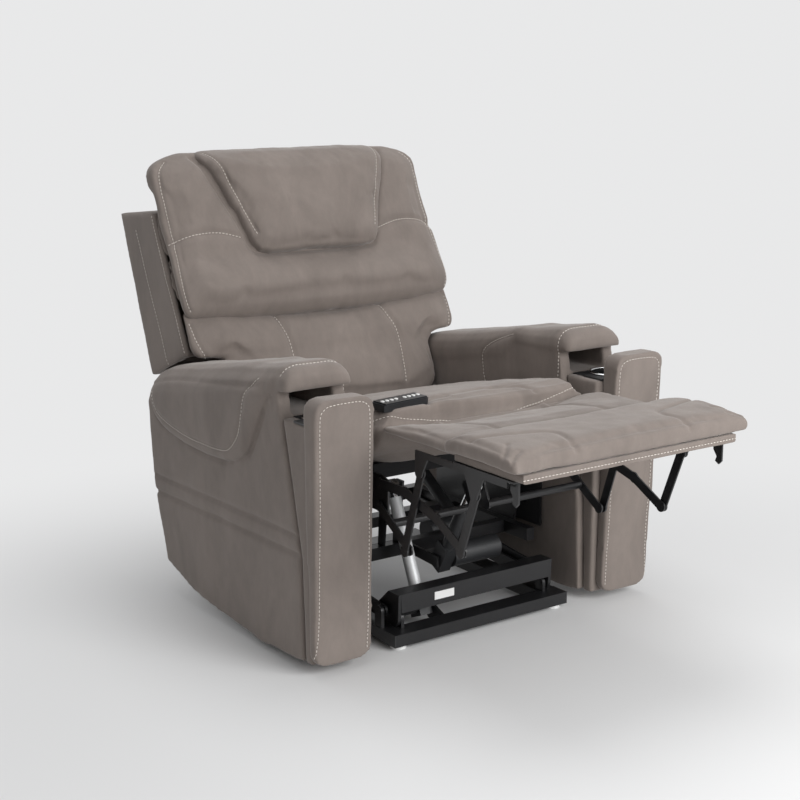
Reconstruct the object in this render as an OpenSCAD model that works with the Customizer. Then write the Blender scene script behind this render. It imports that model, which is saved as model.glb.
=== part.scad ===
// Power lift recliner chair on a tilting carriage, shown reclined with its footrest out.
// Millimetres, +Z up. The floor is z = 0, the chair faces -Y and the sitter's left is +X.
// The modules work from the front face of the arm posts, and on_floor() centres the chair on the origin.

/* [Seat and arms] */
// Clear width between the two arms
inner_w = 600; // [590:5:640]
// Width of one arm, from the seat side to the outer panel
arm_w = 180; // [170:5:210]
// Height of the padded front post of each arm
post_h = 600; // [585:5:610]
// Thickness of the padded arm cap over the outer panel
flap_t = 12; // [6:1:20]
// Height of the storage pocket under the front of the arm cap
pocket_h = 56; // [40:2:60]
// Diameter of the cup well in the arm tray
cup_d = 78; // [60:2:84]

/* [Back] */
// Half of the width of the padded outer back
shell_half_w = 393; // [370:1:400]
// Thickness of the outer back's side and rear walls
shell_wall = 16; // [10:1:24]
// How far the lumbar cushion stands out in front of the back frame
lumbar_crown = 62; // [40:2:70]
// Half of the width of the headrest cushion
head_half_w = 352; // [320:2:372]

/* [Footrest] */
// Half of the width of the footrest pad
foot_half_w = 313; // [300:1:320]
// Thickness of the footrest board
board_t = 18; // [14:1:18]
// Crown of the footrest pad over its edge
foot_crown = 14; // [4:1:24]

/* [Mechanism] */
// Thickness of the flat steel links
link_t = 4; // [3:0.5:5]
// Width of the flat steel links
link_w = 21; // [18:1:22]
// Diameter of the link pins
pin_d = 10; // [8:1:11]
// Height of the floor frame's tubes
base_tube_h = 28; // [20:1:28]
// Diameter of the white glides under the floor frame
glide_d = 36; // [24:1:40]
// Diameter of the actuator motors
motor_d = 56; // [44:2:60]

/* [Handset] */
// Length of the handset that lies on the seat
handset_l = 128; // [110:2:140]
// Travel of one handset button
button_travel = 1; // [0.5:0.1:1.5]

/* [Hidden] */
$fn = 48;
centre_y = 295; // from the post face back to the middle of the whole chair

steel = "#1c1d1f";
taupe = "#8b827c";
wood = "#c9a878";
black_plastic = "#141414";
chrome = "#d8d9dc";
white_plastic = "#efefef";
alloy = "#c8ccd0";

arm_in = inner_w / 2;
arm_out = arm_in + arm_w;
post_in = arm_in + 29;

// Lift linkage, as [y, z]: the arm turns at lift_a, carries the carriage at lift_b,
// and the steadying toggle runs from toggle_c to toggle_d.
lift_a = [75, 58];
lift_b = [470, 86];
toggle_c = [100, 74];
toggle_d = [600, 128];
lift_x = 212; // inner face of the lift arms
toggle_x = 226; // inner face of the toggle links
lift_t = 8;

// Footrest linkage, as [y, z]. Each side has two parallelograms on the same virtual centre.
foot_v = [1, 514];
rear_g = [60, 330];
rear_f = [-50, 260];
rear_e = rear_f + foot_v - rear_g;
front_g = [50, 383];
front_f = [-241, 309];
front_e = front_f + foot_v - front_g;
plate_x = 258; // inner face of the side plates
plate_t = 5;
eye_rim = 4; // an eye is this much wider than its link
layer = 6; // from one link layer to the next, working outwards from the side plate
rear_low_x = plate_x + plate_t + 2;
front_low_x = rear_low_x + layer;
upper_x = front_low_x + layer;
lug_x = upper_x + layer;
drive_at = [14, 301]; // cross tube between the rear lower links
crank_at = [34, 345]; // actuator pin on the crank of that tube

// Back hinge and the lean of the back from upright
back_r = [640, 430];
back_lean = 26;
head_r = [-20, 452]; // headrest hinge in the back's own frame, as [forward-to-rear, up]

// Actuators, as [y, z] of the fixed pivot and of the driven pin
lift_k = [140, 44];
lift_p = [250, 300];
foot_k = [150, 140];
recline_k = [315, 145];
recline_pin = [62.5, -14]; // driven pin in the back's own frame, behind the hinge
lift_act_x = -100;
foot_act_x = -30;
recline_act_x = 150;
recline_p = back_r + recline_pin[0] * [cos(back_lean), -sin(back_lean)]
    + recline_pin[1] * [sin(back_lean), cos(back_lean)];
loose_hole = 24; // eye of a rod whose pin travels on a slightly different arc

rail_in = 236; // carriage rails
rail_out = plate_x;
rail_z = 130;
rail_h = 30;

board_z = 493;
board_y = [-443, -222];
board_half_w = foot_half_w - 22;

frame_y = [95, 570];
frame_top = [412, 345];

handset_at = [-208, 66, 548.5];
handset_tilt = [2, 0, 8];
handset_w = 46;
handset_t = 18;
button_d = 9;

// ---------- Placing and shared shapes ----------

module on_floor() translate([0, -centre_y, 0]) children();

module both_sides() {
    children();
    mirror([1, 0, 0]) children();
}

// Side 1 is the sitter's left (+X), side -1 the right.
module on_side(side) {
    if (side > 0) children();
    else mirror([1, 0, 0]) children();
}

// A flat outline drawn as [y, z] and made solid from x0 to x1.
module slab(outline, x0, x1) {
    translate([x0, 0, 0]) rotate([90, 0, 90]) linear_extrude(x1 - x0) polygon(outline);
}

// A round bar along X between x0 and x1 at [y, z].
module cross_bar(at, d, x0, x1) {
    translate([x0, at[0], at[1]]) rotate([0, 90, 0]) cylinder(h = x1 - x0, d = d);
}

// A box given by its two corners.
module block(low, high) {
    translate(low) cube(high - low);
}

// One straight stretch of flat steel from p to q as [y, z], a touch thinner than its eyes.
module flat(p, q, w, x0, t) {
    run = q - p;
    translate([x0 + 0.1, p[0], p[1]]) rotate([atan2(run[1], run[0]), 0, 0])
        translate([0, 0, -w / 2]) cube([t - 0.2, norm(run), w]);
}

// The same stretch with a round eye at each end.
module strap(p, q, w, x0, t) {
    flat(p, q, w, x0, t);
    for (at = [p, q]) cross_bar(at, w + eye_rim, x0, x0 + t);
}

// A flat link through a list of [y, z] points, drilled at its first and last point.
module link(points, x0, hole_first, hole_last) {
    difference() {
        union() {
            for (i = [0 : len(points) - 2]) flat(points[i], points[i + 1], link_w, x0, link_t);
            for (at = points) cross_bar(at, link_w + eye_rim, x0, x0 + link_t);
        }
        if (hole_first) cross_bar(points[0], pin_d + 0.4, x0 - 1, x0 + link_t + 1);
        if (hole_last) cross_bar(points[len(points) - 1], pin_d + 0.4, x0 - 1, x0 + link_t + 1);
    }
}

module link_pin(at, x0, x1) cross_bar(at, pin_d, x0, x1);

// ---------- Soft forms ----------

function signed_pow(v, e) = sign(v) * pow(abs(v), e);

// One ring of a cushion: half width w across X, between lo and hi through its thickness.
function cushion_ring(st, n, e) = let (mid = (st[1] + st[2]) / 2, rise = (st[2] - st[1]) / 2)
    [for (i = [0 : n - 1]) let (a = 360 * i / n)
        [st[3] * signed_pow(cos(a), 2 / e), mid + rise * signed_pow(sin(a), 2 / e), st[0]]];

function catmull(a, b, c, d, t) = 0.5 * (2 * b + (c - a) * t + (2 * a - 5 * b + 4 * c - d) * t * t
    + (3 * b - a - 3 * c + d) * t * t * t);

// The stations of a cushion with k steps between each pair of the chosen ones.
function smooth(st, k) = [for (i = [0 : len(st) - 2], j = [0 : k - 1])
    catmull(st[max(i - 1, 0)], st[i], st[i + 1], st[min(i + 2, len(st) - 1)], j / k), st[len(st) - 1]];

// A closed cushion along its own Z. A station is [along, low face, high face, half width].
module cushion(stations, k = 3, n = 24, e = 5) {
    path = smooth(stations, k);
    m = len(path);
    rings = [for (st = path) each cushion_ring(st, n, e)];
    ends = [[0, (path[0][1] + path[0][2]) / 2, path[0][0]],
        [0, (path[m - 1][1] + path[m - 1][2]) / 2, path[m - 1][0]]];
    skin = [for (i = [0 : m - 2], j = [0 : n - 1]) let (a = i * n + j, b = i * n + (j + 1) % n)
        each [[a, a + n, b + n], [a, b + n, b]]];
    first_cap = [for (j = [0 : n - 1]) [m * n, j, (j + 1) % n]];
    last_cap = [for (j = [0 : n - 1]) [m * n + 1, (m - 1) * n + (j + 1) % n, (m - 1) * n + j]];
    polyhedron(concat(rings, ends), concat(skin, first_cap, last_cap), convexity = 6);
}

// A cushion whose stations run along Y, with its faces up and down.
module flat_cushion(stations, k = 3, n = 24, e = 5) {
    mirror([0, 1, 0]) rotate([90, 0, 0]) cushion(stations, k, n, e);
}

// The back's own frame: Y runs from its front to its rear, Z up its length.
module on_back() translate([0, back_r[0], back_r[1]]) rotate([-back_lean, 0, 0]) children();

// ---------- Floor frame and lift linkage ----------

base_x = 245;
base_rail_in = 195;
base_y = [29, 640];
base_z = 10;
base_top = base_z + base_tube_h;

module base_frame() {
    on_floor() color(steel) {
        difference() {
            union() {
                block([-base_x, base_y[0], base_z], [base_x, base_y[0] + 50, base_top]);
                block([-base_x, base_y[1] - 50, base_z], [base_x, base_y[1], base_top]);
                both_sides() block([base_rail_in, base_y[0] + 1, base_z], [base_x, base_y[1] - 1, base_top]);
                both_sides() lift_ears();
                actuator_foot();
            }
            both_sides() cross_bar(lift_a, 14.4, lift_x - 20, lift_x);
            both_sides() cross_bar(toggle_c, 12.4, toggle_x, toggle_x + 30);
        }
        cross_bar(lift_k, 12, lift_act_x - 16, lift_act_x + 24);
    }
}

// Ears that carry the lift arm's pivot and, outboard, the toggle's pivot.
module lift_ears() {
    block([lift_x - 12, lift_a[0] - 13, base_top - 1], [lift_x - 4, lift_a[0] + 13, lift_a[1]]);
    cross_bar(lift_a, 26, lift_x - 12, lift_x - 4);
    block([toggle_x + 10, toggle_c[0] - 13, base_top - 1], [toggle_x + 18, toggle_c[0] + 13, toggle_c[1]]);
    cross_bar(toggle_c, 26, toggle_x + 10, toggle_x + 18);
}

// The lug behind the front rail that carries the lift actuator's lower pin.
module actuator_foot() {
    slab([[base_y[0] + 40, base_z + 2], [lift_k[0] - 6, base_z + 5], [lift_k[0] + 12, lift_k[1] - 8],
        [lift_k[0] + 12, lift_k[1] + 12], [lift_k[0] - 12, lift_k[1] + 12], [base_y[0] + 48, base_top - 2]],
        lift_act_x + 18, lift_act_x + 24);
}

module base_end_caps() {
    on_floor() color(black_plastic) {
        both_sides() for (y = [base_y[0], base_y[1] - 50])
            block([base_x, y, base_z], [base_x + 2.5, y + 50, base_top]);
    }
}

module glides() {
    on_floor() color(white_plastic) {
        for (x = [-222, 222], y = [base_y[0] + 25, base_y[1] - 25]) translate([x, y, 0]) {
            cylinder(h = base_z, d = glide_d);
        }
    }
}

weld_y = [55, 95];
weld_z = [75, 118];

module lift_arm_weldment() {
    on_floor() color(steel) {
        block([-lift_x, weld_y[0], weld_z[0]], [lift_x, weld_y[1], weld_z[1]]);
        both_sides() {
            difference() {
                union() {
                    strap(lift_a, lift_b, 30, lift_x, lift_t);
                    slab([[lift_a[0] - 18, lift_a[1]], [weld_y[0], weld_z[1]], [weld_y[1], weld_z[1]],
                        [lift_a[0] + 70, lift_a[1] + 14], [lift_a[0] + 40, lift_a[1] - 10]],
                        lift_x, lift_x + lift_t);
                }
                cross_bar(lift_b, 12.4, lift_x - 1, lift_x + lift_t + 1);
            }
            cross_bar(lift_a, 14, lift_x - 13, lift_x);
        }
    }
}

// A bare plate where a rating label would go.
module rating_plate() {
    on_floor() color(white_plastic) block([-122, weld_y[0] - 1, 88], [-68, weld_y[0], 106]);
}

module toggle_links() {
    on_floor() color(steel) both_sides() {
        difference() {
            strap(toggle_c, toggle_d, link_w + 2, toggle_x, 6);
            cross_bar(toggle_d, 14, toggle_x - 1, toggle_x + 7);
        }
        cross_bar(toggle_c, 12, toggle_x + 6, toggle_x + 18);
    }
}

// ---------- Actuators ----------

// An actuator's fixed half along its own Y from the pivot: gear head, tube and transverse motor.
module actuator_body(tube_end, motor_x0, motor_x1, d) {
    difference() {
        union() {
            block([-17, -22, -20], [17, 46, 20]);
            translate([0, 45, 0]) rotate([-90, 0, 0]) cylinder(h = tube_end - 45, d = 30);
        }
        translate([-18, 0, 0]) rotate([0, 90, 0]) cylinder(h = 36, d = 12.4);
        translate([0, rod_bore, 0]) rotate([-90, 0, 0]) cylinder(h = tube_end, d = 20.6);
    }
    translate([motor_x0, 8, 0]) rotate([0, 90, 0]) cylinder(h = motor_x1 - motor_x0, d = d);
}

// An actuator's moving rod along its own Y, with an eye for the driven pin.
module actuator_rod(start, eye) {
    translate([0, start, 0]) rotate([-90, 0, 0]) cylinder(h = eye - start - 13, d = 20);
    translate([-8, eye, 0]) rotate([0, 90, 0]) difference() {
        cylinder(h = 16, d = loose_hole + 14);
        translate([0, 0, -1]) cylinder(h = 18, d = loose_hole);
    }
}

module along(from, to, x) {
    run = to - from;
    translate([x, from[0], from[1]]) rotate([atan2(run[1], run[0]), 0, 0]) children();
}

rod_bore = 56; // from the pivot to the bottom of the rod's bore
lift_len = norm(lift_p - lift_k);
foot_len = norm(crank_at - foot_k);
recline_len = norm(recline_p - recline_k);

module lift_motor() {
    on_floor() color(alloy) along(lift_k, lift_p, lift_act_x) actuator_body(254, -93, -17, motor_d - 12);
}

module lift_rod() {
    on_floor() color(chrome) along(lift_k, lift_p, lift_act_x) actuator_rod(rod_bore + 3, lift_len);
}

module footrest_motor() {
    on_floor() color(steel) along(foot_k, crank_at, foot_act_x) actuator_body(160, 17, 150, motor_d);
}

module footrest_rod() {
    on_floor() color(chrome) along(foot_k, crank_at, foot_act_x) actuator_rod(rod_bore + 43, foot_len);
}

module recline_motor() {
    on_floor() color(steel) along(recline_k, recline_p, recline_act_x) actuator_body(340, -100, -17, motor_d);
}

module recline_rod() {
    on_floor() color(chrome) along(recline_k, recline_p, recline_act_x)
        actuator_rod(rod_bore + 60, recline_len);
}

// ---------- Carriage, side plates and seat ----------

front_member = [252, 278];
middle_member = [452, 488];

module carriage_frame() {
    on_floor() color(steel) {
        both_sides() {
            block([rail_in, 165, rail_z], [rail_out, 650, rail_z + rail_h]);
            pivot_hanger();
            difference() {
                slab([[575, rail_z + 4], [625, rail_z + 4], [612, 112], [588, 112]], rail_in, rail_in + 5);
                cross_bar(toggle_d, 9, rail_in - 1, rail_in + 6);
            }
            cross_bar(toggle_d, 12, toggle_x, rail_in + 1);
        }
        block([-rail_in - 1, front_member[0], rail_z], [rail_in + 1, front_member[1], rail_z + rail_h]);
        block([-rail_in - 1, middle_member[0], rail_z + 4], [rail_in + 1, middle_member[1], rail_z + rail_h]);
        block([-rail_in - 1, 620, rail_z], [rail_in + 1, 650, rail_z + rail_h]);
        for (x = [-24, 18]) slab([[front_member[0] + 2, rail_z + 20], [front_member[1] - 2, rail_z + 20],
            [lift_p[0] + 14, lift_p[1] + 14], [lift_p[0] - 14, lift_p[1] + 14]],
            lift_act_x + x, lift_act_x + x + 6);
        cross_bar(lift_p, 12, lift_act_x - 24, lift_act_x + 24);
        slab([[foot_k[0] - 13, foot_k[1] - 13], [front_member[0] + 1, rail_z + 3],
            [front_member[0] + 1, rail_z + 27], [foot_k[0] - 13, foot_k[1] + 13]],
            foot_act_x - 24, foot_act_x - 18);
        cross_bar(foot_k, 12, foot_act_x - 24, foot_act_x + 17);
        slab([[front_member[1] - 1, rail_z + 3], [recline_k[0] + 13, recline_k[1] - 13],
            [recline_k[0] + 13, recline_k[1] + 13], [front_member[1] - 1, rail_z + 27]],
            recline_act_x + 18, recline_act_x + 24);
        cross_bar(recline_k, 12, recline_act_x - 17, recline_act_x + 24);
    }
}

// A hanger from the middle cross-member down to the lift arm's rear pivot.
module pivot_hanger() {
    slab([[454, rail_z + 6], [486, rail_z + 6], [486, lift_b[1]], [454, lift_b[1]]], lift_x - 12, lift_x - 4);
    cross_bar(lift_b, 32, lift_x - 12, lift_x - 4);
    cross_bar(lift_b, 12, lift_x - 5, lift_x + lift_t);
}

// Its rear corner follows the back hinge.
plate_outline = [[34, 316], [34, 390], [60, 398], [170, 394], [300, 376], [420, 360],
    back_r + [-80, -85], back_r + [-56, -80], back_r + [-29, -5], back_r + [29, -5],
    back_r + [15, -90], back_r + [-40, -140], [560, 220], [560, rail_z], [250, rail_z],
    [220, 262], [130, 316]];

module side_plate(side) {
    on_floor() color(steel) on_side(side) {
        difference() {
            union() {
                slab(plate_outline, plate_x, plate_x + plate_t);
                cross_bar(back_r, 60, plate_x, plate_x + plate_t);
            }
            cross_bar(back_r, 16.4, plate_x - 1, plate_x + plate_t + 1);
            for (y = [150, 320, 420]) cross_bar([y, 345], 22, plate_x - 1, plate_x + plate_t + 1);
        }
        link_pin(rear_g, plate_x, rear_low_x + link_t);
        link_pin(front_g, plate_x, front_low_x + link_t);
        for (at = [[230, 340], [500, 300], [400, 180]])
            cross_bar(at, 20, plate_x + plate_t - 1, panel_x);
    }
}

module side_plate_left() side_plate(1);
module side_plate_right() side_plate(-1);

frame_in = 233;
frame_out = plate_x;
frame_h = 34;
function frame_z(y) = frame_top[0]
    + (frame_top[1] - frame_top[0]) * (y - frame_y[0]) / (frame_y[1] - frame_y[0]);

module frame_rail(y0, y1, x0, x1) {
    slab([[y0, frame_z(y0) - frame_h], [y1, frame_z(y1) - frame_h], [y1, frame_z(y1)], [y0, frame_z(y0)]],
        x0, x1);
}

module seat_frame() {
    on_floor() color(wood) {
        both_sides() frame_rail(frame_y[0], frame_y[1], frame_in, frame_out);
        frame_rail(frame_y[0], frame_y[0] + 26, -frame_out + 1, frame_out - 1);
        block([-frame_in - 1, frame_y[1] - 26, frame_z(frame_y[1]) - 12],
            [frame_in + 1, frame_y[1], frame_z(frame_y[1])]);
    }
}

// Elastic straps from the front rail to the rear rail.
module seat_webbing() {
    on_floor() color(black_plastic) for (x = [-180 : 90 : 180])
        slab([[frame_y[0], frame_z(frame_y[0])], [frame_y[1], frame_z(frame_y[1])],
            [frame_y[1], frame_z(frame_y[1]) + 3], [frame_y[0], frame_z(frame_y[0]) + 3]], x - 28, x + 28);
}

module seat_cushion() {
    half = arm_in - 14;
    on_floor() color(taupe) flat_cushion([
        [25, 492, 512, half - 22], [31, 470, 524, half - 8], [52, 438, 535, half - 2],
        [90, 418, 540, half], [170, 405.1, 528, half], [300, 386.6, 497, half], [420, 369.7, 467, half],
        [520, 355.6, 441, half - 2], [562, 356, 424, half - 8], [574, 372, 404, half - 22]]);
}

module control_box() {
    on_floor() color(black_plastic) block([-190, 405, rail_z + rail_h], [-60, 535, rail_z + rail_h + 46]);
}

// ---------- Arms ----------

pocket_y = [86, 300];
pocket_z = [538, 538 + pocket_h];
pocket_x = [post_in + 6, arm_out - 42];
// Outer panel of the arm, front edge first.
arm_front = [[50, 23], [60, 250], [102, 434], [128, 536], [140, pocket_z[1] + 0.3]];
arm_rear = [[742, 464.8], [748, 462.4], [730, 269], [675, 78], [560, 46], [417, 26], [235, 15]];
flap_proud = flap_t - 2; // how far the saddle stands out from the panel
// The padded cap along Y. Its front bends over the storage pocket and its outer side hangs as a saddle:
// [y, bottom, top, inset of the seat side, inset of the outer side, lower edge of the saddle].
// Over the pocket its bottom is the pocket's ceiling.
cap_stations = [
    [104, 594, 608, 14, flap_proud + 10, 593], [108, 594, 621, 6, flap_proud + 4, 593],
    [117, 594, 633, 1, flap_proud + 1, 593], [132, 594, 641, 0, flap_proud, 593],
    [152, 594, 644, 0, flap_proud, 592], [166, 594, 643, 0, 1, 574], [205, 594, 637, 0, 0, 524],
    [228, 594, 633, 0, 0, 481], [246, 594, 630, 0, 0, 450], [268, 594, 627, 0, 0, 427],
    [302, 594, 625, 0, 0, 408], [346, 550, 615, 0, 0, 399], [440, 533, 597, 0, 0, 395],
    [535, 515, 579, 0, 0, 398], [600, 504, 569, 0, 0, 404], [652, 495, 561, 0, 0, 416],
    [690, 488, 552, 0, 0, 434], [712, 480, 542, 0, 0, 462], [722, 475, 536, 0, 5, 474],
    [732, 470, 527, 0, flap_proud, 469], [742, 465, 514, 3, flap_proud + 2, 464],
    [750, 462, 498, 6, flap_proud + 6, 461], [756, 463, 482, 12, flap_proud + 14, 462]];
function cap_low(st) = st[0] < pocket_y[1] + 5 ? pocket_z[1] : st[1];
cap_edge_in = 40; // radius of its top edge on the seat side
cap_edge_out = 60; // and on the outer side
panel_x = arm_in - 3;
arm_frame_outline = [[190, 150], [520, 150], [600, 330], [600, 390], [190, 390]];

// Plywood panel that bolts the arm to the side plate.
module arm_frame(side) {
    on_floor() color(wood) on_side(side) difference() {
        slab(arm_frame_outline, panel_x, arm_in + 9);
        for (y = [250, 500]) cross_bar([y, 200], 12, arm_in - 10, arm_in + 20);
    }
}

module arm_frame_left() arm_frame(1);
module arm_frame_right() arm_frame(-1);

// One ring of the cap across X, flat below, round at both top edges and with the saddle's lip.
function cap_ring(st) = let (x0 = arm_in - 2 + st[3], x1 = arm_out - st[4], y = st[0], top = st[2],
    low = cap_low(st), lip = min(st[5], low - 1),
    r0 = min(cap_edge_in, top - low - 4), r1 = min(cap_edge_out, top - lip - 4))
    concat([[x0, y, low], [x0, y, top - r0]],
        [for (a = [30, 60, 90]) [x0 + r0 - r0 * cos(a), y, top - r0 + r0 * sin(a)]],
        [for (a = [90, 60, 30, 0]) [x1 - r1 + r1 * cos(a), y, top - r1 + r1 * sin(a)]],
        [[x1, y, lip], [x1 - flap_t, y, lip], [x1 - flap_t, y, low]]);

module cap_solid() {
    m = len(cap_stations);
    n = 12;
    skin = [for (i = [0 : m - 2], j = [0 : n - 1]) let (a = i * n + j, b = i * n + (j + 1) % n)
        each [[a, a + n, b + n], [a, b + n, b]]];
    ends = [for (st = [cap_stations[0], cap_stations[m - 1]]) [(arm_in + arm_out) / 2, st[0], st[2] - 5]];
    first_cap = [for (j = [0 : n - 1]) [m * n, j, (j + 1) % n]];
    last_cap = [for (j = [0 : n - 1]) [m * n + 1, (m - 1) * n + (j + 1) % n, (m - 1) * n + j]];
    polyhedron(concat([for (st = cap_stations) each cap_ring(st)], ends),
        concat(skin, first_cap, last_cap), convexity = 6);
}

module arm_body(side) {
    under_cap = [for (st = cap_stations) if (st[0] > 140 && st[0] < 735) [st[0], cap_low(st) + 0.3]];
    on_floor() color(taupe) on_side(side) difference() {
        slab(concat(arm_front, under_cap, arm_rear), arm_in, arm_out - flap_proud);
        slab(arm_frame_outline, arm_in - 1, arm_in + 9);
        cap_solid();
        block([pocket_x[0], pocket_y[0], pocket_z[0]], [pocket_x[1], pocket_y[1], pocket_z[1] + 1]);
    }
}

module arm_body_left() arm_body(1);
module arm_body_right() arm_body(-1);

module arm_cap(side) {
    on_floor() color(taupe) on_side(side) cap_solid();
}

module arm_cap_left() arm_cap(1);
module arm_cap_right() arm_cap(-1);

neck_front = 22;
tray_z = 536;
cup_at = [(post_in + arm_out) / 2 - 6, 70];
cup_depth = 62;

module arm_neck(side) {
    on_floor() color(taupe) on_side(side) difference() {
        slab([[neck_front, 23], [50, 23], [60, 250], [102, 434], [128, tray_z], [neck_front, tray_z]],
            arm_in + 15, arm_out - 15);
        translate([cup_at[0], cup_at[1], tray_z - cup_depth - 4]) cylinder(h = cup_depth + 5, d = cup_d + 6);
    }
}

module arm_neck_left() arm_neck(1);
module arm_neck_right() arm_neck(-1);

// The post's front leans forward as it rises and its rear is upright.
module arm_post(side) {
    corner = 30;
    on_floor() color(taupe) on_side(side) intersection() {
        slab([[0, 24], [neck_front, 24], [neck_front, post_h + 4], [-27, post_h + 4]], arm_in, arm_out + 20);
        translate([0, 60, 0]) rotate([90, 0, 0]) linear_extrude(120) union() {
            polygon([[post_in, 24 + corner], [post_in + corner, 24], [arm_out - 8 - corner, 24],
                [arm_out - 8, 24 + corner], [arm_out, post_h - corner], [arm_out - corner, post_h],
                [post_in + corner + 6, post_h], [post_in + 6, post_h - corner]]);
            for (c = [[post_in + corner + 6, post_h - corner], [arm_out - corner, post_h - corner],
                [post_in + corner, 24 + corner], [arm_out - 8 - corner, 24 + corner]])
                translate(c) circle(corner);
        }
    }
}

module arm_post_left() arm_post(1);
module arm_post_right() arm_post(-1);

// A black tray on each arm's neck, with a cup well sunk in it.
module cup_trays() {
    on_floor() color(black_plastic) both_sides() difference() {
        union() {
            block([post_in + 2, neck_front + 1, tray_z], [arm_out - 16, 84, tray_z + 4]);
            block([pocket_x[0] + 0.5, 83, tray_z], [pocket_x[1] - 0.5, 126, tray_z + 2]);
            translate([cup_at[0], cup_at[1], tray_z - cup_depth]) cylinder(h = cup_depth, d = cup_d + 4);
        }
        translate([cup_at[0], cup_at[1], tray_z - cup_depth + 3]) cylinder(h = cup_depth + 10, d = cup_d);
    }
}

module cup_rings() {
    on_floor() color(chrome) both_sides() translate([cup_at[0], cup_at[1], tray_z + 4])
        rotate_extrude() translate([cup_d / 2 + 5, 2.5]) circle(d = 5, $fn = 20);
}

// ---------- Footrest ----------

// Soft pad that fills the space between the seat and the footrest.
module leg_pad() {
    half = foot_half_w - 20;
    on_floor() color(taupe) flat_cushion([
        [-221.5, 499, 519, half - 6], [-214, 496, 525, half - 2], [-180, 495, 526, half],
        [-100, 495, 527, half], [-40, 495, 525, half], [2, 496, 523, half - 6], [14, 499, 520, half - 12],
        [24.5, 510, 517, half - 22]]);
}

module footrest_board() {
    on_floor() color(wood) difference() {
        block([-board_half_w, board_y[0], board_z], [board_half_w, board_y[1], board_z + board_t]);
        for (x = [-200, -70, 70, 200]) translate([x, -330, board_z - 1]) cylinder(h = board_t + 2, d = 22);
    }
}

module footrest_pad() {
    low = board_z + board_t + 0.5;
    crest = 546 + foot_crown;
    on_floor() color(taupe) flat_cushion([
        [-445, low + 4, 538, foot_half_w - 10], [-438, low, 548, foot_half_w - 2],
        [-400, low, crest - 3, foot_half_w],
        [-335, low, crest, foot_half_w], [-270, low, crest - 3, foot_half_w],
        [-232, low, 546, foot_half_w - 2], [-224, low + 4, 536, foot_half_w - 10]]);
}

strip_z = [477, 489];

// Steel bracket under the board: a flange, a lug for each upper link and a locking hook in front.
module footrest_bracket(side) {
    lug_end = lug_x + link_t;
    on_floor() color(steel) on_side(side) {
        block([rear_low_x, -392, strip_z[1]], [lug_end, -225, board_z]);
        block([lug_x, -392, strip_z[0]], [lug_end, rear_e[0] + 12, strip_z[1] + 1]);
        slab([[front_e[0] - 12, front_e[1]], [front_e[0] + 12, front_e[1]], [front_e[0] + 30, strip_z[0] + 1],
            [front_e[0] - 30, strip_z[0] + 1]], lug_x, lug_end);
        slab([[rear_e[0] - 12, rear_e[1]], [rear_e[0] + 12, rear_e[1]], [rear_e[0] + 12, strip_z[0] + 1],
            [rear_e[0] - 30, strip_z[0] + 1]], lug_x, lug_end);
        for (at = [front_e, rear_e]) {
            cross_bar(at, 24, lug_x, lug_end);
            link_pin(at, upper_x, lug_end);
        }
        slab([[-412, 448], [-404, 440], [-394, 446], [-398, 456], [-388, 470], [-388, strip_z[1] + 2],
            [-412, strip_z[1] + 2]], front_low_x, front_low_x + link_t);
        block([front_low_x, -412, strip_z[1]], [lug_end, -391, board_z]);
    }
}

module footrest_bracket_left() footrest_bracket(1);
module footrest_bracket_right() footrest_bracket(-1);

// One unbroken wire wound round Y from y = 0 to length: turns, mean radius r and wire diameter d.
module coil(turns, length, r, d) {
    steps = 10;
    sides = 6;
    m = turns * steps;
    rings = [for (i = [0 : m]) let (a = 360 * i / steps) for (j = [0 : sides - 1]) let (b = 360 * j / sides)
        [(r + d / 2 * cos(b)) * cos(a), length * i / m + d / 2 * sin(b), (r + d / 2 * cos(b)) * sin(a)]];
    skin = [for (i = [0 : m - 1], j = [0 : sides - 1])
        let (p = i * sides + j, q = i * sides + (j + 1) % sides)
        each [[p, p + sides, q + sides], [p, q + sides, q]]];
    caps = [for (j = [1 : sides - 2]) each [[0, j, j + 1], [m * sides, m * sides + j + 1, m * sides + j]]];
    polyhedron(rings, concat(skin, caps), convexity = 8);
}

// Small tension spring between the hook and the flange on each side.
module bracket_springs() {
    on_floor() color(chrome) both_sides() translate([upper_x + 1, -387, strip_z[1] - 4.6])
        coil(6, 42, 3.6, 1.8);
}

module rear_lower_links() {
    on_floor() color(steel) {
        both_sides() {
            link([rear_g, rear_f], rear_low_x, true, false);
            link_pin(rear_f, rear_low_x, upper_x + link_t);
        }
        cross_bar(drive_at, 18, -rear_low_x - 1, foot_act_x - 18);
        cross_bar(drive_at, 18, foot_act_x + 18, rear_low_x + 1);
        for (x = [foot_act_x - 24, foot_act_x + 18]) strap(drive_at, crank_at, 20, x, 6);
        cross_bar(crank_at, 12, foot_act_x - 24, foot_act_x + 24);
    }
}

module rear_upper_links() {
    on_floor() color(steel) both_sides() link([rear_f, rear_e], upper_x, true, true);
}

front_knees = [[-43, 385], [-155, 355]];

module front_lower_links() {
    on_floor() color(steel) both_sides() {
        link([front_g, front_knees[0], front_knees[1], front_f], front_low_x, true, false);
        link_pin(front_f, front_low_x, upper_x + link_t);
    }
}

module front_upper_links() {
    on_floor() color(steel) both_sides() link([front_f, front_e], upper_x, true, true);
}

// ---------- Back ----------

back_low = -44; // lower end of the back in its own frame
shell_outline = [[-18, 146], [-20, 512], [155, 581], [192, 160]];
upright_x = [222, 250];
upright_front = 2;
rung_front = 4;
lumbar_rear = rung_front - 0.3; // the cushion rests against the rungs

module back_frame() {
    on_floor() color(wood) on_back() {
        both_sides() block([upright_x[0], upright_front, back_low + 4], [upright_x[1], 32, 440]);
        for (z = [-20, 150, 300, 412])
            block([-upright_x[0] - 1, rung_front, z], [upright_x[0] + 1, 30, z + 40]);
    }
}

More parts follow.
